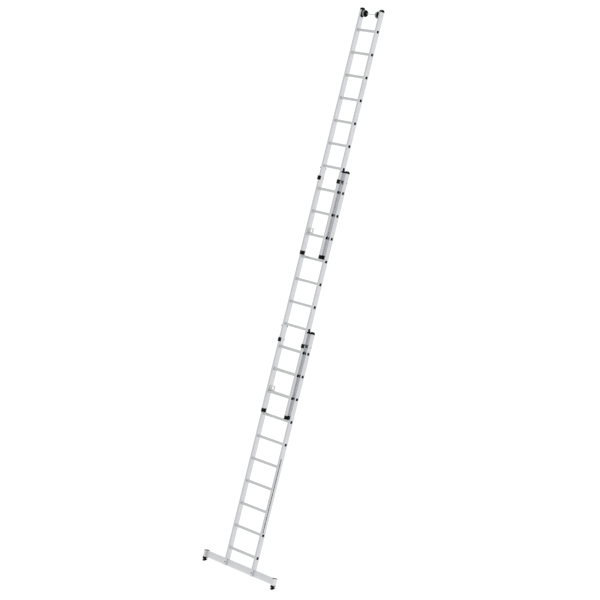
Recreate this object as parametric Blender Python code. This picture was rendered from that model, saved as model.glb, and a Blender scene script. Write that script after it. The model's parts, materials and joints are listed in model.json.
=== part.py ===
"""Three-section aluminium extension ladder, leaning back at its working angle.

World frame: metres, +Z up, origin on the floor midway between the two soles, +X to the climber's
right, climber on the -Y side. The ladder itself is modelled upright, in the frame of one empty that
leans it back. In each section's own frame z = 0 is its lowest rung, y = 0 the middle of its stiles.
"""

import math

import bmesh
import bpy
from mathutils import Matrix, Vector

# ---- driving dimensions (metres) ----
LEAN = math.radians(18.5)  # lean from the vertical
RUNG_PITCH = 0.280
RUNGS = 10  # in each section
SHARED_RUNGS = 3  # rungs that overlap where two sections meet
CLEARANCE = 0.0003  # between pieces that touch
RUNNING_GAP = 0.0018  # between a stile's outer face and the guide that slides past it
NESTING_GAP = 0.0005  # between a stile and the rungs of the section behind
OVERCUT = 0.010  # how far a cutter reaches past the faces that it opens
WELD = 0.001  # how far joined shapes reach into each other
CUT_CORNER = 0.002  # on small plates and brackets

BOTTOM_WIDTH = 0.526  # outer face to outer face
MIDDLE_SIDE_GAP = 0.008  # between the middle section's outer face and the bottom one's inner face
TOP_SIDE_GAP = 0.012

STILE_WIDTH = 0.030
STILE_DEPTH = 0.060
STILE_WALL = 0.0022
STILE_EDGE = 0.0025
STILE_ABOVE = 0.240  # above the highest rung
STILE_BELOW = 0.215  # below the lowest rung, sliding sections

RUNG_SIZE = 0.030
RUNG_WALL = 0.0018
RUNG_EDGE = 0.0045

CAP_HEIGHT = 0.022
CAP_SKIRT = 0.009
CAP_LIP = 0.0008
PLUG_DEPTH = 0.018  # how far caps and shoes reach into a stile
LUG_GAP = 0.0036  # between a lug and the stile in front
LUG_THICKNESS = 0.0115
LUG_REACH = 0.040
LUG_HEIGHT = 0.024

SHOE_HEIGHT = 0.047
SHOE_PAD = 0.0032  # sliding pad on a shoe's outer side
SHOE_PAD_ABOVE = 0.004  # how far the pad stands up beside the stile
SHOE_NOTCH_WIDTH = 0.027
SHOE_NOTCH_DEPTH = 0.010

HOOK_THICKNESS = 0.008
HOOK_BAR = 0.0137
HOOK_ROUND = 0.029  # round end about the pivot, which lets it swing clear of the rung
HOOK_SWING_GAP = 0.003  # between that round end and the rung
HOOK_REAR_BAR = 0.012
HOOK_PLAY = 0.001  # between the loop and the rung's front and back
HOOK_LEAD = 0.008  # flat on the underside in front of the rung
PIVOT_Y = 0.012
PIVOT_RADIUS = 0.005
PIVOT_HEAD_RADIUS = 0.008
PIVOT_HEAD = 0.0026

STRAP_THICKNESS = 0.0034
STRAP_HEIGHT = 0.030
STRAP_SHORT = 0.002  # how far the strap stops before the stile's rear face
STRAP_IN_SHOE = 0.004
GUIDE_ABOVE = {"middle": 0.125, "bottom": 0.080}  # above the highest rung
GUIDE_SHOE_HEIGHT = 0.050
GUIDE_SHOE_WALL = 0.0055
GUIDE_SHOE_GRIP = 0.014  # how far it wraps round the front flange
GUIDE_BOLT_Y = 0.022
GUIDE_BOLT_RADIUS = 0.004
GUIDE_HEAD_RADIUS = 0.006
GUIDE_HEAD = 0.0045

ROLLER_RADIUS = 0.043
ROLLER_THICKNESS = 0.024
ROLLER_ROUND = 0.006  # slope at each edge of the tread
ROLLER_HUB_RADIUS = 0.012
ROLLER_HUB_LENGTH = 0.0199  # from the roller to the leg
AXLE_RADIUS = 0.005
AXLE_Y = 0.003
AXLE_ABOVE = 0.2025  # above the highest rung
AXLE_SHORT = 0.001  # between the axle's end and the stile
COLLAR_RADIUS = 0.009
COLLAR_WIDTH = 0.004
LEG_THICKNESS = 0.0095
LEG_WIDTH = 0.024
LEG_BELOW_AXLE = 0.050

BAR_LENGTH = 1.250
BAR_HEIGHT = 0.078
BAR_DEPTH = 0.030
BAR_WALL = 0.003
BAR_EDGE = 0.003
BAR_Y = 0.007  # middle of its depth
BAR_BELOW = 0.184  # middle of its height, below the lowest rung
DRAIN_RADIUS = 0.004
SADDLE_WALL = 0.004
SADDLE_PLATE = 0.0027
TENON_HEIGHT = 0.040
BAR_BOLT_RADIUS = 0.007
BAR_BOLT_HEAD = 0.005
CLAMP_LENGTH = 0.030
CLAMP_END = 0.652  # outer end, from the middle
CLAMP_DEPTH = 0.058
CLAMP_Y = -0.004
CLAMP_TOP = 0.040  # above the middle of the bar
CLAMP_BELOW = 0.052
TONGUE = 0.010
TONGUE_RADIUS = 0.0105

FOOT_PIVOT_HEIGHT = 0.0245  # above the floor
FOOT_LENGTH = 0.058
FOOT_PAD = 0.010
FOOT_SHOULDER = 0.044
FOOT_SLOPE = 0.003
FOOT_ROOM = 0.0012  # under the tongue
FOOT_PIN_RADIUS = 0.005
FOOT_PIN_IN_CHEEK = 0.002
CROWN_FROM = 20  # degrees: where the round top of a cheek starts

ROUND = 16  # sides of a small round piece
ROLLER_SIDES = 32
DOME_STEPS = 6

# ---- worked out from them ----
MIDDLE_WIDTH = BOTTOM_WIDTH - 2 * (STILE_WIDTH + MIDDLE_SIDE_GAP)
TOP_WIDTH = MIDDLE_WIDTH - 2 * (STILE_WIDTH + TOP_SIDE_GAP)
SECTION_PITCH = STILE_DEPTH / 2 + RUNG_SIZE / 2 + NESTING_GAP
SECTION_RISE = (RUNGS - SHARED_RUNGS) * RUNG_PITCH
TOP_RUNG = (RUNGS - 1) * RUNG_PITCH
STILE_TOP = TOP_RUNG + STILE_ABOVE
PIVOT_Z = RUNG_SIZE / 2 + HOOK_SWING_GAP + HOOK_ROUND
HUB_END = TOP_WIDTH / 2 - STILE_WIDTH - 2 * CLEARANCE - LEG_THICKNESS
ROLLER_X = HUB_END - ROLLER_HUB_LENGTH - ROLLER_THICKNESS / 2
BAR_TOP = -BAR_BELOW + BAR_HEIGHT / 2
BOTTOM_STILE_END = BAR_TOP + SADDLE_PLATE + CLEARANCE
FOOT_X = CLAMP_END - CLAMP_LENGTH / 2
FOOT_PIVOT_Z = -BAR_BELOW - CLAMP_BELOW - TONGUE_RADIUS - CLEARANCE

SECTIONS = {
    "bottom": (BOTTOM_WIDTH, 0),
    "middle": (MIDDLE_WIDTH, 1),
    "top": (TOP_WIDTH, 2),
}
NEXT_WIDTH = {"bottom": MIDDLE_WIDTH, "middle": TOP_WIDTH}
SIDES = {"left": -1, "right": 1}

MATERIALS = {
    "aluminium": ((0.62, 0.64, 0.66), 0.38, 0.85),
    "rung_aluminium": ((0.50, 0.51, 0.50), 0.45, 0.80),
    "black_plastic": ((0.012, 0.012, 0.013), 0.45, 0.0),
    "zinc_steel": ((0.45, 0.46, 0.47), 0.40, 0.90),
    "grey_rubber": ((0.20, 0.21, 0.21), 0.70, 0.0),
    "black_rubber": ((0.010, 0.010, 0.010), 0.75, 0.0),
}


# ---- helpers ----
def clear_scene():
    for old in list(bpy.data.objects):
        bpy.data.objects.remove(old, do_unlink=True)


def make_material(name):
    colour, roughness, metallic = MATERIALS[name]
    material = bpy.data.materials.new(name)
    material.use_nodes = True
    shader = material.node_tree.nodes["Principled BSDF"]
    shader.inputs["Base Color"].default_value = (*colour, 1.0)
    shader.inputs["Roughness"].default_value = roughness
    shader.inputs["Metallic"].default_value = metallic
    return material


def new_object(name, mesh):
    obj = bpy.data.objects.new(name, mesh)
    bpy.context.scene.collection.objects.link(obj)
    return obj


def make_empty(name, location, parent=None, tilt=0.0):
    empty = new_object(name, None)
    empty.location = location
    empty.rotation_euler = (tilt, 0, 0)
    empty.parent = parent
    return empty


def mesh_of(bm):
    bmesh.ops.recalc_face_normals(bm, faces=bm.faces)
    mesh = bpy.data.meshes.new("solid")
    bm.to_mesh(mesh)
    bm.free()
    return mesh


AXIS_TURN = {
    "X": Matrix(((0, 0, 1), (1, 0, 0), (0, 1, 0))),  # outline in (y, z), pushed along x
    "Y": Matrix(((1, 0, 0), (0, 0, 1), (0, 1, 0))),  # outline in (x, z), pushed along y
    "Z": Matrix.Identity(3),  # outline in (x, y), pushed along z
}


def prism(outline, axis, low, high):
    """A closed solid: the outline pushed along an axis from low to high."""
    turn = AXIS_TURN[axis]
    bm = bmesh.new()
    ends = [[bm.verts.new(turn @ Vector((u, v, at))) for u, v in outline] for at in (low, high)]
    bm.faces.new(ends[0])
    bm.faces.new(ends[1])
    for i in range(len(outline)):
        j = (i + 1) % len(outline)
        bm.faces.new((ends[0][i], ends[0][j], ends[1][j], ends[1][i]))
    return mesh_of(bm)


def rectangle(u0, u1, v0, v1, edge=0.0):
    """A rectangle's corners, cut off by edge where it isn't 0."""
    if not edge:
        return [(u0, v0), (u1, v0), (u1, v1), (u0, v1)]
    return [
        (u0 + edge, v0), (u1 - edge, v0), (u1, v0 + edge), (u1, v1 - edge),
        (u1 - edge, v1), (u0 + edge, v1), (u0, v1 - edge), (u0, v0 + edge),
    ]  # fmt: skip


def block(x, y, z, edge=0.0):
    """A box from three (low, high) pairs; its upright edges are cut off by edge."""
    return prism(rectangle(*sorted(x), *sorted(y), edge), "Z", *sorted(z))


def arc(centre, radius, start, end, steps):
    turns = [math.radians(start + (end - start) * i / steps) for i in range(steps + 1)]
    return [(centre[0] + radius * math.cos(t), centre[1] + radius * math.sin(t)) for t in turns]


def disc(centre, radius, sides=ROUND):
    return arc(centre, radius, 0, 360 * (1 - 1 / sides), sides - 1)


def rod(axis, centre, radius, low, high, sides=ROUND):
    return prism(disc(centre, radius, sides), axis, *sorted((low, high)))


def combined(mesh, others, operation):
    """The mesh after a Boolean with each of the others in turn."""
    base = new_object("base", mesh)
    tools = []
    for other in others:
        tool = new_object("tool", other)
        tools.append(tool)
        modifier = base.modifiers.new(operation, "BOOLEAN")
        modifier.operation = operation
        modifier.object = tool
    bpy.context.view_layer.update()
    graph = bpy.context.evaluated_depsgraph_get()
    result = bpy.data.meshes.new_from_object(base.evaluated_get(graph))
    for used in [base, *tools]:
        bpy.data.objects.remove(used, do_unlink=True)
    return result


def union(mesh, *others):
    return combined(mesh, others, "UNION")


def cut(mesh, *others):
    return combined(mesh, others, "DIFFERENCE")


def place(name, mesh, material, parent, location=(0, 0, 0), smooth=False):
    """Makes the named piece from a mesh in the parent's frame, with its origin at location."""
    mesh.transform(Matrix.Translation(-Vector(location)))
    mesh.name = name
    mesh.materials.clear()
    mesh.materials.append(material)
    if smooth:
        mesh.shade_smooth()
        mesh.set_sharp_from_angle(angle=math.radians(35))
    piece = new_object(name, mesh)
    piece.parent = parent
    piece.location = location


def across(side, *distances):
    """Distances from the middle, as x on one side, low to high."""
    return tuple(sorted(side * distance for distance in distances))


# ---- the sections ----
def stile(section, side, half):
    """Box profile with open ends, and holes for the rungs, the hook's pivot and the guide's bolt."""
    inner = half - STILE_WIDTH
    start = BOTTOM_STILE_END if section == "bottom" else -STILE_BELOW
    depth = (-STILE_DEPTH / 2, STILE_DEPTH / 2)
    body = block(across(side, inner, half), depth, (start, STILE_TOP), STILE_EDGE)
    hollow = block(
        across(side, inner + STILE_WALL, half - STILE_WALL),
        (depth[0] + STILE_WALL, depth[1] - STILE_WALL),
        (start - OVERCUT, STILE_TOP + OVERCUT),
        STILE_EDGE / 2,
    )
    through = across(side, inner - OVERCUT, half + OVERCUT)
    reach = RUNG_SIZE / 2 + CLEARANCE
    cuts = [hollow]
    for i in range(RUNGS):
        z = i * RUNG_PITCH
        hole = rectangle(-reach, reach, z - reach, z + reach, RUNG_EDGE)
        cuts.append(prism(hole, "X", *through))
    if section != "bottom":
        centre = (PIVOT_Y, PIVOT_Z)
        cuts.append(rod("X", centre, PIVOT_RADIUS + CLEARANCE, *through))
    if section != "top":
        centre = (GUIDE_BOLT_Y, TOP_RUNG + GUIDE_ABOVE[section])
        cuts.append(rod("X", centre, GUIDE_BOLT_RADIUS + CLEARANCE, *through))
    return cut(body, *cuts)


def rung(half, z):
    """Square tube through both stiles, open at its ends."""
    size = RUNG_SIZE / 2
    bore = size - RUNG_WALL
    outer = prism(rectangle(-size, size, z - size, z + size, RUNG_EDGE), "X", -half, half)
    inside = rectangle(-bore, bore, z - bore, z + bore, RUNG_EDGE - RUNG_WALL / 2)
    return cut(outer, prism(inside, "X", -half - OVERCUT, half + OVERCUT))


def stile_plug(side, half, low, high):
    """The part of a cap or shoe that fills the stile's hollow."""
    gap = STILE_WALL + CLEARANCE
    inner = half - STILE_WIDTH
    depth = STILE_DEPTH / 2 - gap
    return block(across(side, inner + gap, half - gap), (-depth, depth), (low, high), STILE_EDGE)


def cap_dome(side, half):
    """Domed cover over a stile's top end, with its plug."""
    inner = half - STILE_WIDTH
    reach = STILE_DEPTH / 2 + CAP_LIP
    low = STILE_TOP + CLEARANCE
    rise = CAP_HEIGHT - CAP_SKIRT
    radius = (reach**2 + rise**2) / (2 * rise)
    spread = math.degrees(math.asin(reach / radius))
    dome = arc((0, low + CAP_HEIGHT - radius), radius, 90 - spread, 90 + spread, DOME_STEPS)
    outline = [(-reach, low), (reach, low), *dome]
    width = across(side, inner - CAP_LIP, half + CAP_LIP)
    plug = stile_plug(side, half, STILE_TOP - PLUG_DEPTH, low + CAP_SKIRT / 2)
    return union(prism(outline, "X", *width), plug)


def cap_with_lug(side, half, next_half):
    """The cap of a lower section, with a lug beside the stile of the section in front."""
    low = STILE_TOP + CLEARANCE
    start = next_half + LUG_GAP
    front = -STILE_DEPTH / 2 - LUG_REACH
    lug = block(
        across(side, start, start + LUG_THICKNESS),
        (front, -STILE_DEPTH / 2 + CAP_LIP),
        (low, low + LUG_HEIGHT - CAP_SKIRT / 2),
        LUG_THICKNESS / 4,
    )
    return union(cap_dome(side, half), lug)


def cap_with_leg(side, half):
    """The top section's cap, with the leg on the stile's inner face that carries the axle."""
    inner = half - STILE_WIDTH
    face = inner - CLEARANCE
    axle_z = TOP_RUNG + AXLE_ABOVE
    foot_z = axle_z - LEG_BELOW_AXLE
    x = across(side, face, face - LEG_THICKNESS)
    radius = LEG_WIDTH / 2
    top = STILE_TOP + CLEARANCE + CAP_SKIRT
    outline = [
        *arc((AXLE_Y, foot_z + radius), radius, 180, 360, DOME_STEPS),
        (AXLE_Y + radius, top),
        (AXLE_Y - radius, top),
    ]
    leg = prism(outline, "X", *x)
    bridge = block(
        across(side, face - LEG_THICKNESS, inner + STILE_WALL),
        (AXLE_Y - radius, AXLE_Y + radius),
        (STILE_TOP + CLEARANCE, top),
    )
    bore = rod("X", (AXLE_Y, axle_z), AXLE_RADIUS + CLEARANCE, x[0] - OVERCUT, x[1] + OVERCUT)
    return cut(union(cap_dome(side, half), leg, bridge), bore)


def shoe(side, half):
    """End shoe under a sliding stile, with a thin pad that runs beside the section behind."""
    inner = half - STILE_WIDTH
    high = -STILE_BELOW - CLEARANCE
    low = high - SHOE_HEIGHT
    depth = STILE_DEPTH / 2
    notch = SHOE_NOTCH_WIDTH / 2
    body = block(across(side, inner, half), (-depth, depth), (low, high), STILE_EDGE)
    plug = stile_plug(side, half, high - CAP_SKIRT, -STILE_BELOW + PLUG_DEPTH)
    pad = block(across(side, half - SHOE_PAD, half + SHOE_PAD), (0, depth), (low, high))
    tab = block(
        across(side, half + CLEARANCE, half + SHOE_PAD),
        (0, depth),
        (high - WELD, high + SHOE_PAD_ABOVE),
    )
    gap = block(
        across(side, inner - OVERCUT, half + OVERCUT),
        (-notch, notch),
        (low - OVERCUT, low + SHOE_NOTCH_DEPTH),
    )
    return cut(union(body, plug, pad, tab), gap)


def hook(side, half):
    """Rung hook on a stile's inner face: an open loop over the rung behind, with its pivot pin."""
    face = half - STILE_WIDTH - CLEARANCE
    x = across(side, face, face - HOOK_THICKNESS)
    lead = SECTION_PITCH - RUNG_SIZE / 2 - HOOK_LEAD
    back = SECTION_PITCH + RUNG_SIZE / 2 + HOOK_PLAY
    rear = back + HOOK_REAR_BAR
    low = RUNG_SIZE / 2 + CLEARANCE
    pivot = (PIVOT_Y, PIVOT_Z)
    top = PIVOT_Z + HOOK_ROUND
    front_end = arc(pivot, HOOK_ROUND, 90, 270, 2 * DOME_STEPS)
    outline = [*front_end, (lead, low), (rear, low), (rear, top)]
    front = SECTION_PITCH - RUNG_SIZE / 2 - HOOK_PLAY
    window = rectangle(front, back, low + HOOK_BAR, top - HOOK_BAR, CUT_CORNER)
    loop = cut(prism(outline, "X", *x), prism(window, "X", x[0] - OVERCUT, x[1] + OVERCUT))
    head = half + CLEARANCE
    ends = across(side, face - HOOK_THICKNESS / 2, head + PIVOT_HEAD / 2)
    pin = rod("X", pivot, PIVOT_RADIUS, *ends)
    button = rod("X", pivot, PIVOT_HEAD_RADIUS, *across(side, head, head + PIVOT_HEAD))
    return union(loop, pin, button)


def guide(section, side, half, next_half):
    """Strap on a stile's inner face, reaching forward to a shoe round the next stile's front."""
    z = TOP_RUNG + GUIDE_ABOVE[section]
    strap_out = half - STILE_WIDTH - CLEARANCE
    strap_in = strap_out - STRAP_THICKNESS
    front = -SECTION_PITCH - STILE_DEPTH / 2
    back = front + GUIDE_SHOE_GRIP
    next_inner = next_half - STILE_WIDTH
    low = z - GUIDE_SHOE_HEIGHT / 2
    high = z + GUIDE_SHOE_HEIGHT / 2
    strap = block(
        across(side, strap_in, strap_out),
        (back - STRAP_IN_SHOE, STILE_DEPTH / 2 - STRAP_SHORT),
        (z - STRAP_HEIGHT / 2, z + STRAP_HEIGHT / 2),
    )
    clip = block(
        across(side, next_inner - GUIDE_SHOE_WALL, strap_out),
        (front - CLEARANCE - GUIDE_SHOE_WALL, back),
        (low, high),
        CUT_CORNER,
    )
    slot = block(
        across(side, next_inner - CLEARANCE, next_half + RUNNING_GAP),
        (front - CLEARANCE, back + OVERCUT),
        (low - OVERCUT, high + OVERCUT),
    )
    bolt_at = (GUIDE_BOLT_Y, z)
    head = half + CLEARANCE
    ends = across(side, strap_out - STRAP_THICKNESS / 2, head + GUIDE_HEAD / 2)
    bolt = rod("X", bolt_at, GUIDE_BOLT_RADIUS, *ends)
    button = rod("X", bolt_at, GUIDE_HEAD_RADIUS, *across(side, head, head + GUIDE_HEAD))
    return union(cut(clip, slot), strap, bolt, button)


# ---- the crossbar and its feet ----
def saddle(side):
    """Three-sided bracket in front of the bar under a stile, with its plate, tenon and bolt head."""
    half = BOTTOM_WIDTH / 2
    inner = half - STILE_WIDTH
    bar_front = BAR_Y - BAR_DEPTH / 2
    low = -BAR_BELOW - BAR_HEIGHT / 2
    front = -STILE_DEPTH / 2
    shell = block(across(side, inner, half), (front, bar_front + WELD), (low, BAR_TOP), WELD)
    room = block(
        across(side, inner + SADDLE_WALL, half - SADDLE_WALL),
        (front + SADDLE_WALL, bar_front + OVERCUT),
        (low - OVERCUT, BAR_TOP - WELD),
    )
    plate = block(
        across(side, inner, half),
        (front, STILE_DEPTH / 2),
        (BAR_TOP - WELD, BAR_TOP + SADDLE_PLATE),
        WELD,
    )
    tenon = stile_plug(side, half, BAR_TOP, BOTTOM_STILE_END + TENON_HEIGHT)
    bolt_at = (side * (half - STILE_WIDTH / 2), -BAR_BELOW)
    head = rod("Y", bolt_at, BAR_BOLT_RADIUS, front - BAR_BOLT_HEAD, front + WELD, 6)
    return union(cut(shell, room), plate, tenon, head)


def clamp(side):
    """Welded end piece of the bar, with the tongue that the foot hangs on."""
    start = CLAMP_END - CLAMP_LENGTH
    front = CLAMP_Y - CLAMP_DEPTH / 2
    back = CLAMP_Y + CLAMP_DEPTH / 2
    high = -BAR_BELOW + CLAMP_TOP
    low = -BAR_BELOW - CLAMP_BELOW
    body = block(across(side, start, CLAMP_END), (front, back), (low, high), BAR_EDGE)
    room = block(
        across(side, start - OVERCUT, CLAMP_END - BAR_WALL),
        (front + BAR_WALL, BAR_Y - BAR_DEPTH / 2 + WELD),
        (low + BAR_WALL, high - BAR_WALL),
    )
    pivot = (CLAMP_Y, FOOT_PIVOT_Z)
    x = across(side, FOOT_X - TONGUE / 2, FOOT_X + TONGUE / 2)
    outline = [
        *arc(pivot, TONGUE_RADIUS, 180, 360, 2 * DOME_STEPS),
        (CLAMP_Y + TONGUE_RADIUS, low + WELD),
        (CLAMP_Y - TONGUE_RADIUS, low + WELD),
    ]
    bore = rod("X", pivot, FOOT_PIN_RADIUS + CLEARANCE, x[0] - OVERCUT, x[1] + OVERCUT)
    return union(cut(body, room), cut(prism(outline, "X", *x), bore))


def crossbar():
    """Hollow bar with its two saddles and two end clamps welded on, and a drain hole behind."""
    front = BAR_Y - BAR_DEPTH / 2
    back = BAR_Y + BAR_DEPTH / 2
    low = -BAR_BELOW - BAR_HEIGHT / 2
    half = BAR_LENGTH / 2
    wall = BAR_WALL
    bar = prism(rectangle(front, back, low, BAR_TOP, BAR_EDGE), "X", -half, half)
    inside = rectangle(front + wall, back - wall, low + wall, BAR_TOP - wall)
    room = prism(inside, "X", wall - half, half - wall)
    drain = rod("Y", (0, -BAR_BELOW), DRAIN_RADIUS, back - 2 * wall, back + OVERCUT)
    ends = [piece(side) for side in SIDES.values() for piece in (saddle, clamp)]
    return cut(union(bar, *ends), room, drain)


def foot(side):
    """Rubber foot in its pivot's frame, sole flat: pad, two cheeks and the pin between them."""
    width = CLAMP_LENGTH / 2
    sole = -FOOT_PIVOT_HEIGHT
    pad = sole + FOOT_PAD
    half = FOOT_LENGTH / 2
    shoulder = FOOT_SHOULDER / 2
    outline = [
        (-half, sole), (half, sole), (half, pad), (shoulder, pad + FOOT_SLOPE),
        *arc((0, 0), TONGUE_RADIUS, CROWN_FROM, 180 - CROWN_FROM, 2 * DOME_STEPS),
        (-shoulder, pad + FOOT_SLOPE), (-half, pad),
    ]  # fmt: skip
    slot = TONGUE / 2 + CLEARANCE
    room = block((-slot, slot), (-half, half), (-TONGUE_RADIUS - FOOT_ROOM, TONGUE_RADIUS + OVERCUT))
    pin_end = slot + FOOT_PIN_IN_CHEEK
    pin = rod("X", (0, 0), FOOT_PIN_RADIUS, -pin_end, pin_end)
    return union(cut(prism(outline, "X", -width, width), room), pin)


# ---- the rollers ----
def axle():
    """Steel axle from leg to leg, with a collar on the inner side of each roller."""
    centre = (AXLE_Y, TOP_RUNG + AXLE_ABOVE)
    reach = TOP_WIDTH / 2 - STILE_WIDTH - CLEARANCE - AXLE_SHORT
    shaft = rod("X", centre, AXLE_RADIUS, -reach, reach)
    start = ROLLER_X - ROLLER_THICKNESS / 2 - CLEARANCE
    collars = [
        rod("X", centre, COLLAR_RADIUS, *across(side, start, start - COLLAR_WIDTH))
        for side in SIDES.values()
    ]
    return union(shaft, *collars)


def roller(side):
    """Wall roller with a rounded tread, and a hub that reaches to the leg."""
    inner = ROLLER_X - ROLLER_THICKNESS / 2
    outer = ROLLER_X + ROLLER_THICKNESS / 2
    edge = ROLLER_RADIUS - ROLLER_ROUND
    bore = AXLE_RADIUS + CLEARANCE
    profile = [
        (inner, bore), (inner, edge), (inner + ROLLER_ROUND, ROLLER_RADIUS),
        (outer - ROLLER_ROUND, ROLLER_RADIUS), (outer, edge),
        (outer, ROLLER_HUB_RADIUS), (HUB_END, ROLLER_HUB_RADIUS), (HUB_END, bore),
    ]  # fmt: skip
    bm = bmesh.new()
    rings = []
    for x, radius in profile:
        circle = disc((AXLE_Y, TOP_RUNG + AXLE_ABOVE), radius, ROLLER_SIDES)
        rings.append([bm.verts.new((side * x, y, z)) for y, z in circle])
    for first, second in zip(rings, rings[1:] + rings[:1]):
        for i in range(ROLLER_SIDES):
            j = (i + 1) % ROLLER_SIDES
            bm.faces.new((first[i], first[j], second[j], second[i]))
    return mesh_of(bm)


# ---- the assembly ----
def build_section(section, frame, materials):
    """The rungs, stiles, caps, guides, shoes and hooks of one section."""
    width, number = SECTIONS[section]
    half = width / 2
    for i in range(RUNGS):
        tube = rung(half, i * RUNG_PITCH)
        place(f"{section}_rung_{i + 1:02d}", tube, materials["rung_aluminium"], frame)
    for name, side in SIDES.items():
        tube = stile(section, side, half)
        place(f"{section}_stile_{name}", tube, materials["aluminium"], frame)
        if section == "top":
            cap = cap_with_leg(side, half)
        else:
            next_half = NEXT_WIDTH[section] / 2
            cap = cap_with_lug(side, half, next_half)
            bracket = guide(section, side, half, next_half)
            place(f"{section}_guide_{name}", bracket, materials["zinc_steel"], frame)
        place(f"{section}_cap_{name}", cap, materials["black_plastic"], frame)
        if number:
            end = shoe(side, half)
            place(f"{section}_shoe_{name}", end, materials["black_plastic"], frame)
            pivot = (side * (half - STILE_WIDTH), PIVOT_Y, PIVOT_Z)
            place(f"{section}_hook_{name}", hook(side, half), materials["zinc_steel"], frame, pivot)


def build_rollers(frame, materials):
    centre = (0, AXLE_Y, TOP_RUNG + AXLE_ABOVE)
    place("roller_axle", axle(), materials["zinc_steel"], frame, centre, smooth=True)
    for name, side in SIDES.items():
        at = (side * ROLLER_X, *centre[1:])
        place(f"roller_{name}", roller(side), materials["grey_rubber"], frame, at, smooth=True)


def main():
    clear_scene()
    materials = {name: make_material(name) for name in MATERIALS}
    foot_pivot = Vector((0, CLAMP_Y, FOOT_PIVOT_Z))
    leaned = Matrix.Rotation(-LEAN, 3, "X") @ foot_pivot
    origin = Vector((0, 0, FOOT_PIVOT_HEIGHT)) - leaned
    ladder = make_empty("ladder_frame", origin, tilt=-LEAN)
    for section, (_, number) in SECTIONS.items():
        at = (0, -number * SECTION_PITCH, number * SECTION_RISE)
        frame = make_empty(f"{section}_frame", at, ladder)
        build_section(section, frame, materials)
        if section == "bottom":
            place("crossbar", crossbar(), materials["aluminium"], frame)
        if section == "top":
            build_rollers(frame, materials)
    for name, side in SIDES.items():
        pivot = make_empty(f"foot_pivot_{name}", (side * FOOT_X, 0, FOOT_PIVOT_HEIGHT))
        place(f"foot_{name}", foot(side), materials["black_rubber"], pivot)


main()
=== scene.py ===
import json
import math

import bmesh
import bpy
from mathutils import Matrix, Vector


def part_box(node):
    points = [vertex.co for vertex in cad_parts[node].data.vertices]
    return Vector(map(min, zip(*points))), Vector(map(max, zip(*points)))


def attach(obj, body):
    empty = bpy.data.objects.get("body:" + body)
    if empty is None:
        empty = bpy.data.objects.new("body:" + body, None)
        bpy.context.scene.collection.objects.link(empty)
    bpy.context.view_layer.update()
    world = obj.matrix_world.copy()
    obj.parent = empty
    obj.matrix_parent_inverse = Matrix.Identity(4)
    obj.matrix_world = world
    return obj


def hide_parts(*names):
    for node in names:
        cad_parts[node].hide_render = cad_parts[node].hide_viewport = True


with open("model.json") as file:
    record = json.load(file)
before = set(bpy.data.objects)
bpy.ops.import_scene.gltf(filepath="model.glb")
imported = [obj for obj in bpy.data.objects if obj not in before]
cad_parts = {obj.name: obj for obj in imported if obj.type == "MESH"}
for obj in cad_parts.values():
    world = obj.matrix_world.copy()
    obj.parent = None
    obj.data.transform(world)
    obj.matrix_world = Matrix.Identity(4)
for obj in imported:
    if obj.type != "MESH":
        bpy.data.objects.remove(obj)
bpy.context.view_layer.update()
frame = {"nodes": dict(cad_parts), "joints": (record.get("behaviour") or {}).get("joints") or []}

# ---- where things are: everything is worked out from the frame ----
SIDES = {"left": -1, "right": 1}
SECTIONS = ("bottom", "middle", "top")
NEXT = {"bottom": "middle", "middle": "top"}
RUNGS = 10
FACING = Matrix.Rotation(math.pi, 4, "Z")
BODY = {section: f"{section}_section" for section in SECTIONS}

ALONG = Vector(next(j["axis"] for j in frame["joints"] if j["name"] == "middle_slide")).normalized()
BACK = Vector((0, ALONG.z, -ALONG.y))


def frame_at(origin):
    """The leaned frame at a point: x across, y towards the ladder's back, z up along the stiles."""
    return Matrix.Translation(origin) @ Matrix(((1, 0, 0), BACK, ALONG)).transposed().to_4x4()


def middle_of(node):
    low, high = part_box(node)
    return (low + high) / 2


FRAMES = {section: frame_at(middle_of(f"{section}_rung_01")) for section in SECTIONS}


def extent(node, section):
    """Lowest and highest corner of a CAD node in its section's own frame."""
    into = FRAMES[section].inverted()
    points = [into @ vertex.co for vertex in frame["nodes"][node].data.vertices]
    low = Vector([min(p[i] for p in points) for i in range(3)])
    high = Vector([max(p[i] for p in points) for i in range(3)])
    return low, high


def joint_point(name):
    """A joint's own point in the world."""
    return Vector(next(j["pos_m"] for j in frame["joints"] if j["name"] == name))


def joint_at(name, section):
    """A joint's own point in a section's frame."""
    return FRAMES[section].inverted() @ joint_point(name)


HALF = {section: extent(f"{section}_rung_01", section)[1].x for section in SECTIONS}
PITCH = (middle_of("bottom_rung_02") - middle_of("bottom_rung_01")).length
RUNG_SIZE = extent("bottom_rung_01", "bottom")[1].y * 2
STILE = extent("top_stile_right", "top")
STILE_WIDTH = STILE[1].x - STILE[0].x
STILE_DEPTH = STILE[1].y - STILE[0].y

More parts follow.
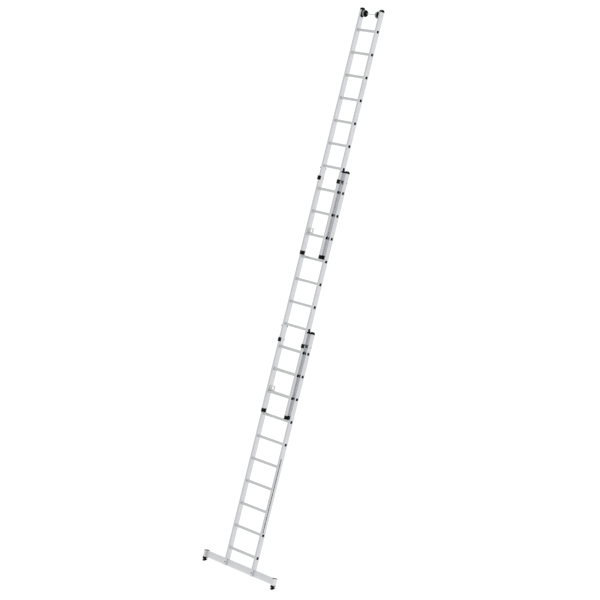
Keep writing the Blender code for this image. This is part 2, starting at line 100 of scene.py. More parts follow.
# ---- sizes of the visible detail (metres) ----
TOUCH = 0.0001  # between faces that meet
PIECE_GAP = 0.0003  # between pieces that are fitted to each other
THROUGH = 0.01  # how far a cutting shape passes the piece it cuts
SHARP_ANGLE = 35
SOFT_EDGE = 0.0007
FINE_EDGE = 0.0002
PIN_BORE = 0.0053
STILE_WALL = 0.0022
STILE_ROUND = 0.0030
FLUTES = 5
FLUTE_STEPS = 6
FLUTE_DEPTH = 0.0007
RUNG_ROUND = 0.0045
RUNG_NECK = 0.012
COLLAR_STEPS = (  # distance from the stile's inner face, size, corner radius
    (0.0000, 0.0340, 0.0062),
    (0.0008, 0.0348, 0.0066),
    (0.0020, 0.0344, 0.0064),
    (0.0032, 0.0326, 0.0056),
    (0.0048, 0.0306, 0.0048),
)
PLUG_STEPS = (  # distance out from the stile's outer face, size, corner radius
    (-0.0120, 0.0236, 0.0020),
    (-0.0002, 0.0258, 0.0024),
    (0.0001, 0.0258, 0.0024),
    (0.0001, 0.0332, 0.0062),
    (0.0007, 0.0332, 0.0062),
    (0.0011, 0.0322, 0.0058),
    (0.0012, 0.0300, 0.0050),
    (0.0010, 0.0226, 0.0032),
    (0.0006, 0.0200, 0.0026),
    (0.0006, 0.0040, 0.0010),
)
PLUG_CORNER_STEPS = 5

CAP_LIP = 0.0016
CAP_SKIRT = 0.009
CAP_RISE = 0.0215
CAP_STEPS = 10
CAP_CHAMFER = 0.0008
CAP_PULL = 0.0025  # how far the crown draws in at the sides
CAP_CROWN = 0.004
CAP_ROUND = 0.003
LEG_ROUND = 0.012
LEG_TOP = 0.008
BRIDGE_LEVELS = (0.0004, 0.0085)
BRIDGE_LAP = 0.003
BOSS_RADII = (0.0100, 0.0094)
BOSS_HEIGHT = 0.002
LUG_GAP = 0.0036
LUG_WIDTH = 0.0115
LUG_HEIGHT = 0.0190
LUG_ROUND = 0.0035
LUG_LAP = 0.002

GROOVES = 3
GROOVE_START = 0.010
GROOVE_PITCH = 0.008
GROOVE_WIDTH = 0.0025
GROOVE_DEPTH = 0.0008
GROOVE_INSET = 0.004
GROOVE_ROUND = 0.0004

PIN_HEAD_OUT = 0.0083  # from the stile's inner face to the hook's face
PIN_HEAD = (  # distance out from the hook's face, radius
    (-0.0010, 0.0082),
    (0.0006, 0.0082),
    (0.0016, 0.0066),
    (0.0020, 0.0030),
)

STRAP_THICKNESS = 0.0034
STRAP_HALF_HEIGHT = 0.015
STRAP_ROUND = 0.006
STRAP_LAP = 0.004
STRAP_SHORT = 0.002
GUIDE_DEPTH = 0.0198
GUIDE_FRONT_WALL = 0.0055
GUIDE_ROUND = 0.0045
GUIDE_OUTER_ROOM = 0.0018
GUIDE_SLOT_ROUND = 0.0015
GUIDE_RIBS = (-0.014, 0.0, 0.014)
GUIDE_RIB_HALF = 0.0012
GUIDE_RIB_INSET = 0.002
PAD_THICKNESS = 0.0042
PAD_DEPTHS = (0.0225, 0.0010)  # in front of the stile's front face
PAD_LEVELS = (-0.0110, 0.0240)  # from the guide's middle
PAD_ROUND = 0.0015
GUIDE_BOLT_Y = 0.022

WASHER_RADIUS = 0.0078
WASHER = 0.0010
HEX_RADIUS = 0.0066
HEX_HEIGHT = 0.0034
HEX_CHAMFER = 0.0006
HEX_TOP = 0.86  # top of the chamfer against the hexagon's radius
NUT_HEIGHT = 0.0036

FILM_LOW = 0.298
FILM_HIGH = 1.277
FILM_WIDTH = 0.050
FILM_THICKNESS = 0.0003
FILM_ROUND = 0.004
BAR_ROW_Y = -0.0150
BAR_ROW_WIDTH = 0.014
BAR_ROW_GAP = 0.003
BAR_ROW_INSET = 0.010
BAR_ROW_ROUND = 0.001
BAR_LENGTHS = (0.034, 0.018, 0.026, 0.044, 0.014, 0.030)

RIVET_ABOVE = 1.2735
RIVET_Y = -0.005
RIVET_RADIUS = 0.0055
RIVET_HEIGHT = 0.0013
RIVET_STEPS = 6

ROLLER_HALF = 0.012
TREAD_EDGE = (  # distance in from the roller's side, distance in from its radius
    (0.0012, 0.0040),
    (0.0000, 0.0034),
    (0.0008, 0.0018),
    (0.0026, 0.0005),
    (0.0050, 0.0000),
)
TREAD_GROOVE = ((0.0028, 0.0000), (0.0020, 0.0012))  # distance from the middle, depth
DISC_INSET = 0.0040
HUB_PROFILE = (  # distance from the disc's middle, radius
    (0.0105, PIN_BORE),
    (0.0105, 0.0110),
    (0.0100, 0.0118),
    (0.0045, 0.0124),
)
RIM_PROFILE = (  # distance from the disc's middle, depth in from the rim
    (0.0040, 0.0060),
    (0.0095, 0.0050),
    (0.0105, 0.0040),
    (0.0108, 0.0000),
)
LONG_HUB = ((0.0006, 0.0118), (0.0000, 0.0110), (0.0000, PIN_BORE))  # distance in from its end, radius
SPOKES = 6
SPOKE_TURN = 15
SPOKE_HALF = 0.0012
SPOKE_REACH = 0.0090
SPOKE_START = 0.0115
SPOKE_INSET = 0.0035
AXLE_RADIUS = 0.0050
AXLE_TIP = 0.0040
AXLE_CHAMFER = 0.001
COLLAR_PLACE = 0.0123  # from a roller's middle to its collar
COLLAR_PROFILE = (  # distance in from the collar's face, radius
    (0.0000, AXLE_RADIUS + TOUCH),
    (0.0000, 0.0090),
    (0.0012, 0.0092),
    (0.0024, 0.0090),
    (0.0024, 0.0064),
    (0.0040, 0.0062),
    (0.0040, AXLE_RADIUS + TOUCH),
)

BAR_HEIGHT = 0.078
BAR_DROP = 0.0030  # from the stiles' ends to the bar's top
BAR_FRONT = -0.008
BAR_BACK = 0.022
BAR_HALF = 0.625
BAR_WALL = 0.003
DRAIN_RADIUS = 0.004
SADDLE_WALL = 0.004
SADDLE_ROUND = 0.0020
PLATE_LIP = 0.001
SADDLE_BOLT = 0.0046

CLAMP_LENGTH = 0.030
CLAMP_FRONT = -0.033
CLAMP_BACK = 0.025
CLAMP_ABOVE = 0.040
CLAMP_BELOW = 0.052
CLAMP_WALL = 0.0032
CLAMP_ROUND = 0.0035
RECESS = 0.0018
RECESS_BACK = -0.0085
BED_GAP = 0.0003
BED_ROUND = 0.0031
BED_END_GAP = 0.0002
SLEEVE_HEIGHT = 0.0105
TONGUE_ROUND = 0.0105
TONGUE_HALF = 0.005
WINDOW_GAP = 0.0002
LID_THICKNESS = 0.0045
LID_INNER_LIP = 0.0030
LID_OUTER_LIP = 0.0015
LID_FRONT_LIP = 0.0010
LID_BACK_LIP = 0.0030
BUFFER_DEPTHS = (0.029, 0.0117)  # in front of the foot's pin
BUFFER_DROP = 0.0075
BUFFER_INSET = 0.0005

SOLE_HEEL = ((0.004, 0.0), (0.016, 0.0045))  # distance behind the pin, height over the sole
HEEL_END = ((0.002, 0.0125), (0.000, 0.014), (0.001, 0.016))  # distance in from the heel's end, height
HEEL_TOP = (0.020, 0.0165)
TOE_TOP = (-0.018, 0.0127)
TOE_END = ((0.001, 0.013), (0.000, 0.012), (0.000, 0.002))  # distance in from the toe's end, height
TOE_CHAMFER = 0.002
FORK_ROOM = 0.0053
FORK_FLOOR = -0.0117
SOLE_GROOVES = range(-4, 5)
SOLE_GROOVE_PITCH = 0.006
SOLE_GROOVE_HALF = 0.001
SOLE_GROOVE_DEPTH = 0.0015
FOOT_PIN = (  # distance out from the foot's side, radius
    (0.0004, 0.0020),
    (0.0002, 0.0064),
    (-0.0012, 0.0070),
    (-0.0014, 0.0050),
)

FLOOR_REACH = 400.0
FLOOR_SIDES = 96
FLOOR_GLOW = 0.78
KEY_ENERGY = 0.35
KEY_ANGLE = 120
KEY_FROM = Vector((0.55, 0.45, 0.95))
BRIGHT_SIDE = Vector((0.70, 0.62, 0.35))
SURROUND = (0.83, 1.12)  # strength away from and towards the bright side

CAMERA_AZIMUTH = 48.5266
CAMERA_ELEVATION = 13.9836
CAMERA_ROLL = 0.175
CAMERA_DISTANCE = 25.830
CAMERA_TARGET = Vector((0.0169, 0.9653, 3.2554))
CAMERA_LENS = 129.41
CAMERA_SENSOR = 36.0


# ---- materials ----
DULL = 0.06  # specular level of black plastic and rubber


class Nodes:
    """Short names for building one material's node tree."""

    def __init__(self, name):
        self.material = bpy.data.materials.new(name)
        self.material.use_nodes = True
        self.tree = self.material.node_tree
        self.shader = self.tree.nodes["Principled BSDF"]
        self.place = self.tree.nodes.new("ShaderNodeTexCoord").outputs["Object"]

    def join(self, source, target):
        self.tree.links.new(source, target)

    def set(self, **values):
        for name, value in values.items():
            self.shader.inputs[name.replace("_", " ")].default_value = value

    def noise(self, stretch, detail=4.0, roughness=0.5):
        """Noise over the object's own coordinates, multiplied by stretch along x, y and z."""
        mapping = self.tree.nodes.new("ShaderNodeMapping")
        mapping.inputs["Scale"].default_value = stretch
        self.join(self.place, mapping.inputs["Vector"])
        node = self.tree.nodes.new("ShaderNodeTexNoise")
        node.inputs["Scale"].default_value = 1.0
        node.inputs["Detail"].default_value = detail
        node.inputs["Roughness"].default_value = roughness
        self.join(mapping.outputs["Vector"], node.inputs["Vector"])
        return node.outputs["Fac"]

    def cells(self, scale):
        node = self.tree.nodes.new("ShaderNodeTexVoronoi")
        node.inputs["Scale"].default_value = scale
        self.join(self.place, node.inputs["Vector"])
        return node

    def ranged(self, value, low, high, start=0.3, end=0.7):
        """The value between start and end, spread from low to high."""
        node = self.tree.nodes.new("ShaderNodeMapRange")
        for name, number in (("From Min", start), ("From Max", end), ("To Min", low), ("To Max", high)):
            node.inputs[name].default_value = number
        self.join(value, node.inputs["Value"])
        return node.outputs["Result"]

    def added(self, first, second):
        node = self.tree.nodes.new("ShaderNodeMath")
        self.join(first, node.inputs[0])
        self.join(second, node.inputs[1])
        return node.outputs["Value"]

    def mixed(self, factor, first, second):
        node = self.tree.nodes.new("ShaderNodeMix")
        node.data_type = "RGBA"
        node.inputs[6].default_value = (*first, 1)
        node.inputs[7].default_value = (*second, 1)
        self.join(factor, node.inputs[0])
        return node.outputs[2]

    def colour(self, factor, first, second):
        self.join(self.mixed(factor, first, second), self.shader.inputs["Base Color"])

    def roughness(self, value):
        self.join(value, self.shader.inputs["Roughness"])

    def bump(self, height, strength, distance):
        node = self.tree.nodes.new("ShaderNodeBump")
        node.inputs["Strength"].default_value = strength
        node.inputs["Distance"].default_value = distance
        self.join(height, node.inputs["Height"])
        self.join(node.outputs["Normal"], self.shader.inputs["Normal"])


def extruded_aluminium(name, dark, light, stretch, rough):
    """Mill-finish extrusion: fine die lines along the profile, faint clouds and handling marks."""
    made = Nodes(name)
    lines = made.noise(stretch, detail=3.0)
    clouds = made.noise((9, 9, 5), detail=5.0, roughness=0.6)
    marks = made.noise((160, 160, 90), detail=6.0, roughness=0.7)
    made.set(Metallic=1.0)
    made.colour(made.ranged(made.added(lines, clouds), 0.0, 1.0, 0.7, 1.3), dark, light)
    finish = made.added(
        made.ranged(lines, 0.0, 0.07),
        made.ranged(clouds, rough, rough + 0.05),
    )
    made.roughness(made.added(finish, made.ranged(marks, 0.0, 0.06, 0.55, 0.75)))
    made.bump(lines, 0.10, 0.0004)
    return made.material


def moulded_plastic(name, dark, light, rough, grain=900.0):
    """Black moulded plastic: fine spark-eroded grain with a slightly uneven gloss."""
    made = Nodes(name)
    fine = made.noise((grain, grain, grain), detail=2.0)
    cloud = made.noise((40, 40, 40), detail=4.0)
    made.set(Specular_IOR_Level=DULL)
    made.colour(cloud, dark, light)
    made.roughness(made.added(made.ranged(cloud, rough, rough + 0.08), made.ranged(fine, 0.0, 0.08)))
    made.bump(fine, 0.25, 0.0002)
    return made.material


def zinc_steel(name, dark, light, rough):
    """Zinc-plated steel: small crystals that differ a little in tone and gloss."""
    made = Nodes(name)
    crystals = made.cells(420.0)
    cloud = made.noise((60, 60, 60), detail=5.0)
    made.set(Metallic=1.0)
    distance = crystals.outputs["Distance"]
    made.colour(
        made.added(made.ranged(distance, 0.0, 0.5, 0.0, 0.9), made.ranged(cloud, 0.0, 0.5)),
        dark,
        light,
    )
    made.roughness(
        made.added(made.ranged(cloud, rough, rough + 0.1), made.ranged(distance, 0.0, 0.06, 0.0, 1.0))
    )
    made.bump(cloud, 0.10, 0.0002)
    return made.material


def rubber(name, dark, light, rough):
    """Rubber: dull, with fine pits and dusty patches."""
    made = Nodes(name)
    pits = made.noise((1400, 1400, 1400), detail=3.0)
    dust = made.noise((55, 55, 55), detail=6.0, roughness=0.65)
    made.set(Specular_IOR_Level=DULL)
    made.colour(made.ranged(dust, 0.0, 1.0, 0.35, 0.75), dark, light)
    made.roughness(made.added(made.ranged(dust, rough, rough + 0.12), made.ranged(pits, 0.0, 0.05)))
    made.bump(pits, 0.35, 0.0003)
    return made.material


def printed_film(name, dark, light, rough):
    """Thin plastic film with a faint orange-peel surface."""
    made = Nodes(name)
    peel = made.noise((260, 260, 120), detail=2.0)
    made.colour(peel, dark, light)
    made.roughness(made.ranged(peel, rough, rough + 0.08))
    made.bump(peel, 0.08, 0.0002)
    return made.material


STILE_METAL = extruded_aluminium(
    "stile_aluminium",
    (0.605, 0.615, 0.632),
    (0.660, 0.670, 0.688),
    (900, 900, 3), 0.18,
)
RUNG_METAL = extruded_aluminium(
    "rung_aluminium",
    (0.540, 0.552, 0.548),
    (0.590, 0.602, 0.598),
    (4, 900, 900), 0.26,
)
BAR_METAL = extruded_aluminium(
    "bar_aluminium",
    (0.655, 0.665, 0.680),
    (0.700, 0.710, 0.725),
    (3, 900, 900), 0.34,
)
BLACK_PLASTIC = moulded_plastic(
    "black_plastic",
    (0.0025, 0.0026, 0.0028),
    (0.0050, 0.0052, 0.0055),
    0.46,
)
PLUG_PLASTIC = moulded_plastic(
    "plug_plastic",
    (0.0015, 0.0015, 0.0017),
    (0.0030, 0.0030, 0.0032),
    0.50, 1200.0,
)
PAD_PLASTIC = moulded_plastic("pad_plastic", (0.070, 0.073, 0.076), (0.100, 0.104, 0.108), 0.50)
LID_PLASTIC = moulded_plastic("lid_plastic", (0.012, 0.013, 0.014), (0.020, 0.021, 0.022), 0.50)
STEEL = zinc_steel("zinc_steel", (0.48, 0.49, 0.49), (0.64, 0.65, 0.65), 0.28)
BOLT_STEEL = zinc_steel("bolt_steel", (0.34, 0.35, 0.36), (0.48, 0.49, 0.50), 0.24)
BLACK_STEEL = zinc_steel("black_steel", (0.010, 0.010, 0.011), (0.024, 0.024, 0.025), 0.42)
DARK_STEEL = zinc_steel("dark_steel", (0.10, 0.105, 0.11), (0.17, 0.175, 0.18), 0.34)
TYRE_RUBBER = rubber("tyre_rubber", (0.20, 0.215, 0.215), (0.27, 0.285, 0.280), 0.60)
FOOT_RUBBER = rubber("foot_rubber", (0.0030, 0.0030, 0.0030), (0.0090, 0.0090, 0.0085), 0.62)
FILM = printed_film("film", (0.57, 0.585, 0.595), (0.62, 0.636, 0.645), 0.36)
INK = printed_film("ink", (0.018, 0.020, 0.022), (0.030, 0.032, 0.034), 0.50)


# ---- mesh helpers ----
def arc(centre, radius, start, end, steps):
    turns = [math.radians(start + (end - start) * i / steps) for i in range(steps + 1)]
    return [(centre[0] + radius * math.cos(t), centre[1] + radius * math.sin(t)) for t in turns]


def rounded(u, v, radius, steps=4):
    """An outline with round corners, from (low, high) along each direction."""
    u0, u1 = sorted(u)
    v0, v1 = sorted(v)
    corners = (
        ((u1 - radius, v0 + radius), -90),
        ((u1 - radius, v1 - radius), 0),
        ((u0 + radius, v1 - radius), 90),
        ((u0 + radius, v0 + radius), 180),
    )
    return [point for centre, start in corners for point in arc(centre, radius, start, start + 90, steps)]


def spread(point, axis, at):
    """An outline's point in space: (y, z) for axis X, (x, z) for Y, (x, y) for Z."""
    u, v = point
    return {"X": (at, u, v), "Y": (u, at, v), "Z": (u, v, at)}[axis]


def loft(rings, closed=False):
    """A closed solid through rings of equally many points; closed joins the last ring to the first."""
    bm = bmesh.new()
    loops = [[bm.verts.new(point) for point in ring] for ring in rings]
    pairs = list(zip(loops, loops[1:]))
    if closed:
        pairs.append((loops[-1], loops[0]))
    count = len(rings[0])
    for first, second in pairs:
        for i in range(count):
            j = (i + 1) % count
            bm.faces.new((first[i], first[j], second[j], second[i]))
    if not closed:
        bm.faces.new(loops[0])
        bm.faces.new(loops[-1])
    bmesh.ops.recalc_face_normals(bm, faces=bm.faces)
    mesh = bpy.data.meshes.new("shape")
    bm.to_mesh(mesh)
    bm.free()
    return mesh


def prism(outline, axis, low, high):
    return loft([[spread(p, axis, at) for p in outline] for at in sorted((low, high))])


def box(x, y, z, radius=0.001):
    """A box whose upright edges are round."""
    return prism(rounded(x, y, radius), "Z", *z)


def tube(outer, inner, axis, low, high):
    """A pipe with open ends, from two outlines of equally many points."""
    ends = ((outer, low), (outer, high), (inner, high), (inner, low))
    return loft([[spread(p, axis, at) for p in outline] for outline, at in ends], closed=True)


def circle(centre, radius, sides):
    return arc(centre, radius, 0, 360 * (1 - 1 / sides), sides - 1)


def lathe(profile, centre, axis="X", sides=40, closed=False):
    """A turned solid from (distance along the axis, radius) steps."""
    rings = [[spread(p, axis, at) for p in circle(centre, radius, sides)] for at, radius in profile]
    return loft(rings, closed)


def combined(mesh, others, operation):
    """The mesh after a Boolean with each of the others in turn."""
    base = bpy.data.objects.new("base", mesh)
    bpy.context.scene.collection.objects.link(base)
    tools = []
    for other in others:
        tool = bpy.data.objects.new("tool", other)
        bpy.context.scene.collection.objects.link(tool)
        tools.append(tool)
        modifier = base.modifiers.new(operation, "BOOLEAN")
        modifier.operation = operation
        modifier.object = tool
    bpy.context.view_layer.update()
    graph = bpy.context.evaluated_depsgraph_get()
    result = bpy.data.meshes.new_from_object(base.evaluated_get(graph))
    for used in [base, *tools]:
        bpy.data.objects.remove(used, do_unlink=True)
    return result


def union(mesh, *others):
    return combined(mesh, others, "UNION")


def cut(mesh, *others):
    return combined(mesh, others, "DIFFERENCE")


def across(side, *distances):
    """Distances from the middle, as x on one side, low to high."""
    return tuple(sorted(side * distance for distance in distances))


def from_cad(node, section):
    """A copy of a CAD node's mesh in its section's frame, with its flat faces whole again."""
    bm = bmesh.new()
    bm.from_mesh(frame["nodes"][node].data)
    bm.transform(FRAMES[section].inverted())
    bmesh.ops.remove_doubles(bm, verts=bm.verts, dist=1e-5)
    bmesh.ops.dissolve_limit(bm, angle_limit=math.radians(1), verts=bm.verts, edges=bm.edges)
    bmesh.ops.recalc_face_normals(bm, faces=bm.faces)
    mesh = bpy.data.meshes.new("shape")
    bm.to_mesh(mesh)
    bm.free()
    return mesh


def add(name, mesh, place, body, material, edge=0.0, stands_for=()):
    """Adds one visible piece: its mesh in the given frame, its body and material."""
    if not mesh.materials:
        mesh.materials.append(material)
    else:
        mesh.materials[0] = material
    mesh.shade_smooth()
    mesh.set_sharp_from_angle(angle=math.radians(SHARP_ANGLE))
    piece = bpy.data.objects.new(name, mesh)
    bpy.context.scene.collection.objects.link(piece)
    piece.matrix_world = place
    if edge:
        bevel = piece.modifiers.new("soft_edges", "BEVEL")
        bevel.width = edge
        bevel.segments = 3
        bevel.limit_method = "ANGLE"
        bevel.angle_limit = math.radians(SHARP_ANGLE)
        bevel.harden_normals = True
    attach(piece, body)
    if stands_for:
        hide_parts(*stands_for)
    return piece


# ---- stiles, rungs and plugs ----
def build_stiles(section):
    """Rounded box extrusions in place of the CAD ones, with the same outer size and wall."""
    for name, side in SIDES.items():
        node = f"{section}_stile_{name}"
        low, high = extent(node, section)
        x = across(side, HALF[section] - STILE_WIDTH, HALF[section])
        outer = rounded(x, (low.y, high.y), STILE_ROUND)
        inner = rounded(
            (x[0] + STILE_WALL, x[1] - STILE_WALL),
            (low.y + STILE_WALL, high.y - STILE_WALL),
            STILE_ROUND / 2,
        )
        mesh = tube(outer, inner, "Z", low.z, high.z)
        add(f"{node}_profile", mesh, FRAMES[section], BODY[section], STILE_METAL, 0, [node])


def fluted_outline(size, radius, depth):
    """A square outline with round corners, whose sides carry shallow flutes of the given depth."""
    points = []
    reach = size / 2 - radius
    steps = FLUTES * FLUTE_STEPS
    for quarter in range(4):
        turn = Matrix.Rotation(math.radians(90 * quarter), 2)
        side = []
        for i in range(steps + 1):
            dip = depth * (1 - math.cos(2 * math.pi * i / FLUTE_STEPS)) / 2
            side.append((size / 2 - dip, -reach + 2 * reach * i / steps))
        side += arc((reach, reach), radius, 0, 90, 5)[1:-1]
        points += [tuple(turn @ Vector(p)) for p in side]
    return points


def rung_mesh(section):
    """A fluted square tube from stile to stile, flared against each stile's inner face."""
    inner = HALF[section] - STILE_WIDTH
    steps = [(inner + STILE_WALL, RUNG_SIZE - TOUCH, RUNG_ROUND, 0.0)]
    steps += [(inner - away - TOUCH, size, radius, 0.0) for away, size, radius in COLLAR_STEPS]
    steps += [(inner - 0.5 * RUNG_NECK, RUNG_SIZE, RUNG_ROUND, 0.0)]
    steps += [(inner - RUNG_NECK, RUNG_SIZE, RUNG_ROUND, FLUTE_DEPTH)]
    half = [(x, fluted_outline(size, radius, depth)) for x, size, radius, depth in steps]
    rings = [[(x, *p) for p in outline] for x, outline in half]
    rings += [[(-x, *p) for p in outline] for x, outline in reversed(half)]
    return loft(rings)


def plug_mesh():
    """The plug in a rung's end: a round-cornered flange with a shallow dish."""
    rings = []
    for out, size, radius in PLUG_STEPS:
        reach = size / 2
        outline = rounded((-reach, reach), (-reach, reach), radius, PLUG_CORNER_STEPS)
        rings.append([(out, *p) for p in outline])
    return loft(rings)


def build_rungs(section, plug):
    tube_mesh = rung_mesh(section)
    for i in range(RUNGS):
        node = f"{section}_rung_{i + 1:02d}"
        level = FRAMES[section] @ Matrix.Translation((0, 0, i * PITCH))
        add(f"{node}_fluted", tube_mesh, level, BODY[section], RUNG_METAL, 0, [node])
        for name, side in SIDES.items():
            if section == "bottom" and side > 0 and FILM_LOW < i * PITCH < FILM_HIGH:
                continue
            end = level @ Matrix.Translation((side * HALF[section], 0, 0))
            if side < 0:
                end = end @ FACING
            add(f"{node}_plug_{name}", plug, end, BODY[section], PLUG_PLASTIC)


# ---- caps and shoes ----
def cap_dome(side, half, top):
    """A domed cover on a stile's end: straight skirt, then an arch from front to back."""
    low = top + PIECE_GAP
    x_reach = STILE_WIDTH / 2 + CAP_LIP
    y_reach = STILE_DEPTH / 2 + CAP_LIP
    radius = (y_reach**2 + CAP_RISE**2) / (2 * CAP_RISE)
    middle = side * (half - STILE_WIDTH / 2)
    levels = [
        (low, x_reach - CAP_CHAMFER, y_reach - CAP_CHAMFER),
        (low + CAP_CHAMFER, x_reach, y_reach),
        (low + CAP_SKIRT, x_reach, y_reach),
    ]
    for i in range(1, CAP_STEPS + 1):
        up = CAP_RISE * math.sin(math.pi / 2 * i / CAP_STEPS)
        arch = math.sqrt(max(radius**2 - (radius - CAP_RISE + up) ** 2, 0))
        pull = CAP_PULL * (i / CAP_STEPS) ** 6
        levels.append((low + CAP_SKIRT + up, x_reach - pull, max(arch, CAP_CROWN)))
    rings = []
    for z, dx, dy in levels:
        outline = rounded((middle - dx, middle + dx), (-dy, dy), min(CAP_ROUND, dy * 0.7))
        rings.append([(*p, z) for p in outline])
    return loft(rings)


def axle_leg(side, low, high, half, top, axle):
    """The leg that hangs inside a top cap and holds the axle: its solids, and the axle's bore."""
    inner = min(abs(low.x), abs(high.x))
    face = half - STILE_WIDTH - PIECE_GAP
    outline = [
        *arc((axle.y, low.z + LEG_ROUND), LEG_ROUND, 180, 360, 12),
        (axle.y + LEG_ROUND, top + LEG_TOP),
        (axle.y - LEG_ROUND, top + LEG_TOP),
    ]
    leg = prism(outline, "X", *across(side, inner, face))
    bridge = box(
        across(side, inner, face + BRIDGE_LAP),
        (axle.y - LEG_ROUND, axle.y + LEG_ROUND),
        tuple(top + level for level in BRIDGE_LEVELS),
    )
    centre = (axle.y, axle.z)
    foot, tip = BOSS_RADII
    boss = lathe([(side * (inner + BOSS_HEIGHT), foot), (side * (inner - TOUCH), tip)], centre)
    bore = lathe([(side * (inner - THROUGH), PIN_BORE), (side * (face + THROUGH), PIN_BORE)], centre)
    return (leg, bridge, boss), bore


def build_caps(section):
    """Caps on the stiles' upper ends, with a lug beside the next stile or a leg for the axle."""
    half = HALF[section]
    for name, side in SIDES.items():
        node = f"{section}_cap_{name}"
        top = extent(f"{section}_stile_{name}", section)[1].z
        low, high = extent(node, section)
        mesh = cap_dome(side, half, top)
        if section == "top":
            axle = joint_at(f"roller_{name}_spin", section)
            solids, bore = axle_leg(side, low, high, half, top, axle)
            mesh = cut(union(mesh, *solids), bore)
        else:
            start = HALF[NEXT[section]] + LUG_GAP
            x = across(side, start, start + LUG_WIDTH)
            y = (low.y, LUG_LAP - STILE_DEPTH / 2)
            lug = prism(rounded(x, y, LUG_ROUND), "Z", top + PIECE_GAP, top + LUG_HEIGHT)
            mesh = union(mesh, lug)
        add(
            f"{node}_moulding",
            mesh,
            FRAMES[section],
            BODY[section],
            BLACK_PLASTIC,
            SOFT_EDGE,
            [node],
        )


def build_shoes(section):
    """End shoes under the sliding stiles, softened, with shallow grip ribs across the front."""
    for name, side in SIDES.items():
        node = f"{section}_shoe_{name}"
        low, high = extent(node, section)
        stile_end = extent(f"{section}_stile_{name}", section)[0].z
        mesh = from_cad(node, section)
        x = across(side, HALF[section] - STILE_WIDTH + GROOVE_INSET, HALF[section] - GROOVE_INSET)
        y = (low.y - 0.2 * THROUGH, low.y + GROOVE_DEPTH)
        grooves = []
        for i in range(GROOVES):
            z = stile_end - GROOVE_START - GROOVE_PITCH * i
            grooves.append(box(x, y, (z - GROOVE_WIDTH, z), GROOVE_ROUND))
        add(
            f"{node}_moulding",
            cut(mesh, *grooves),
            FRAMES[section],
            BODY[section],
            BLACK_PLASTIC,
            SOFT_EDGE,
            [node],
        )


# ---- hooks, guides and fasteners ----
def hex_head(side, face, height):
    """A washer and a chamfered hexagon on it, standing out from a face at x."""
    ring = [(face, WASHER_RADIUS - 0.0003), (face + side * 0.0003, WASHER_RADIUS)]
    ring += [(face + side * WASHER, WASHER_RADIUS - 0.0002)]
    start = face + side * (WASHER - 0.0002)
    end = start + side * height
    head = [(start, HEX_RADIUS), (end - side * HEX_CHAMFER, HEX_RADIUS), (end, HEX_RADIUS * HEX_TOP)]
    return ring, head


def hex_bolt(side, face, centre, height=HEX_HEIGHT):
    ring, head = hex_head(side, face, height)
    return union(lathe(ring, centre, sides=32), lathe(head, centre, sides=6))


def build_hooks(section):
    """Steel rung hooks with a round-headed pivot pin."""
    for name, side in SIDES.items():
        node = f"{section}_hook_{name}"
        place = FRAMES[section]
        add(f"{node}_loop", from_cad(node, section), place, node, STEEL, SOFT_EDGE, [node])
        pivot = joint_at(f"{section}_hook_{name}_pivot", section)
        face = HALF[section] - STILE_WIDTH - PIN_HEAD_OUT
        head = lathe([(side * (face - out), radius) for out, radius in PIN_HEAD], (pivot.y, pivot.z))
        add(f"{node}_pin_head", head, place, node, BOLT_STEEL, FINE_EDGE)


def guide_shoe(side, section, low, high, back, out):
    """The black shoe round the front of the next stile, with three grooves across its front."""
    next_half = HALF[NEXT[section]]
    inner = next_half - STILE_WIDTH
    middle = (low.z + high.z) / 2
    outline = rounded(across(side, inner - GUIDE_FRONT_WALL, out - TOUCH), (low.y, back), GUIDE_ROUND)
    shell = prism(outline, "Z", low.z, high.z)
    slot = box(
        across(side, inner - PIECE_GAP, next_half + GUIDE_OUTER_ROOM),
        (low.y + GUIDE_FRONT_WALL, back + THROUGH),
        (low.z - THROUGH, high.z + THROUGH),
        GUIDE_SLOT_ROUND,
    )
    x = across(side, inner + GUIDE_RIB_INSET, next_half - GUIDE_RIB_INSET)
    y = (low.y - 0.1 * THROUGH, low.y + GROOVE_DEPTH)
    ribs = []
    for rise in GUIDE_RIBS:
        z = middle + rise
        ribs.append(box(x, y, (z - GUIDE_RIB_HALF, z + GUIDE_RIB_HALF), 0.0003))
    return cut(shell, slot, *ribs)


def build_guides(section):
    """Each guide: a steel strap, a black shoe round the next stile's front, a pad, a bolt and its nut."""
    half = HALF[section]
    body = BODY[section]
    at = FRAMES[section]
    for name, side in SIDES.items():
        node = f"{section}_guide_{name}"
        low, high = extent(node, section)
        middle = (low.z + high.z) / 2
        out = half - STILE_WIDTH - PIECE_GAP
        inside = out - STRAP_THICKNESS
        back = low.y + GUIDE_DEPTH
        outline = rounded(
            (back - STRAP_LAP, STILE_DEPTH / 2 - STRAP_SHORT),
            (middle - STRAP_HALF_HEIGHT, middle + STRAP_HALF_HEIGHT),
            STRAP_ROUND,
        )
        strap = prism(outline, "X", *across(side, inside, out))
        add(f"{node}_strap", strap, at, body, STEEL, 0.0005, [node])
        shoe = guide_shoe(side, section, low, high, back, out)
        add(f"{node}_shoe", shoe, at, body, BLACK_PLASTIC, SOFT_EDGE)
        pad = box(
            across(side, out + TOUCH, out + PAD_THICKNESS),
            tuple(-STILE_DEPTH / 2 - depth for depth in PAD_DEPTHS),
            tuple(middle + level for level in PAD_LEVELS),
            PAD_ROUND,
        )
        add(f"{node}_pad", pad, at, body, PAD_PLASTIC, 0.0005)
        centre = (GUIDE_BOLT_Y, middle)
        bolt = hex_bolt(side, side * (half + TOUCH), centre)
        add(f"{node}_bolt", bolt, at, body, BOLT_STEEL, FINE_EDGE)
        nut = hex_bolt(-side, side * (inside - TOUCH), centre, NUT_HEIGHT)
        add(f"{node}_nut", nut, at, body, BOLT_STEEL, FINE_EDGE)


